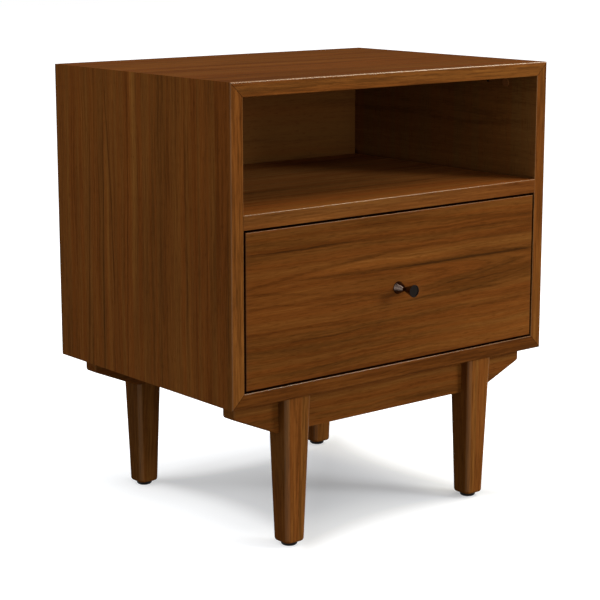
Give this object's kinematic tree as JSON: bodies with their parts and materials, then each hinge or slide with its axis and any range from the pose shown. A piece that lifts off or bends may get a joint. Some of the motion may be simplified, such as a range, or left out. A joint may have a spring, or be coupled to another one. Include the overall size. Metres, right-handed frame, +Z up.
{
  "type": "nightstand",
  "caption": "Bedside cabinet with an open bay above an inset sliding drawer, on tapered legs joined by shaped rails.",
  "frame": {"origin": "on the floor, in the middle of the plan rectangle that the case and its knob cover", "axes": "+X to the right seen from the front, +Y to the back, +Z up; the drawer opens towards -Y"},
  "size_m": [0.55, 0.427, 0.61],
  "materials": {
    "walnut": "walnut with a satin lacquer",
    "drawer_wood": "pale lacquered hardwood",
    "dowel_wood": "plain beech",
    "knob_metal": "dark bronze, satin",
    "zinc": "die-cast zinc",
    "steel": "bright zinc plate",
    "cage_steel": "plain pressed steel",
    "brass": "turned brass",
    "cap_plastic": "brown moulded",
    "glide_plastic": "black nylon"
  },
  "bodies": {
    "case": {"top_panel": "walnut", "bottom_panel": "walnut", "left_side": "walnut", "right_side": "walnut", "shelf": "walnut", "back_panel": "walnut", "corner_cams": "zinc", "corner_bolts": "steel", "cam_caps": "cap_plastic", "shelf_dowels": "dowel_wood", "front_rail": "walnut", "rear_rail": "walnut", "leg_front_left": "walnut", "leg_front_right": "walnut", "leg_rear_left": "walnut", "leg_rear_right": "walnut", "leg_dowels": "dowel_wood", "rail_bolts": "steel", "rail_inserts": "brass", "glide_front_left": "glide_plastic", "glide_front_right": "glide_plastic", "glide_rear_left": "glide_plastic", "glide_rear_right": "glide_plastic", "glide_screws": "steel", "slide_outer_left": "steel", "slide_outer_right": "steel", "slide_case_screws": "steel"},
    "drawer": {"drawer_front": "walnut", "drawer_box_front": "drawer_wood", "drawer_box_back": "drawer_wood", "drawer_box_left": "drawer_wood", "drawer_box_right": "drawer_wood", "drawer_bottom": "drawer_wood", "slide_inner_left": "steel", "slide_inner_right": "steel", "slide_drawer_screws": "steel", "front_screws": "steel", "knob": "knob_metal", "knob_screw": "steel"},
    "middle_members": {"slide_middle_left": "steel", "slide_middle_right": "steel"},
    "outer_cages": {"ball_cage_outer_left": "cage_steel", "ball_cage_outer_right": "cage_steel"},
    "inner_cages": {"ball_cage_inner_left": "cage_steel", "ball_cage_inner_right": "cage_steel"}
  },
  "joints": [
    {"name": "drawer_slide", "type": "slide", "parent": "case", "child": "drawer", "axis": [0, -1, 0], "range_m": [0, 0.33]},
    {"name": "middle_member_travel", "type": "slide", "parent": "case", "child": "middle_members", "axis": [0, -1, 0], "range_m": [0, 0.165]},
    {"name": "outer_cage_travel", "type": "slide", "parent": "case", "child": "outer_cages", "axis": [0, -1, 0], "range_m": [0, 0.0825]},
    {"name": "inner_cage_travel", "type": "slide", "parent": "case", "child": "inner_cages", "axis": [0, -1, 0], "range_m": [0, 0.2475]}
  ],
  "couplings": [
    {"joint": "middle_member_travel", "follows": "drawer_slide", "ratio": 0.5},
    {"joint": "outer_cage_travel", "follows": "drawer_slide", "ratio": 0.25},
    {"joint": "inner_cage_travel", "follows": "drawer_slide", "ratio": 0.75}
  ]
}
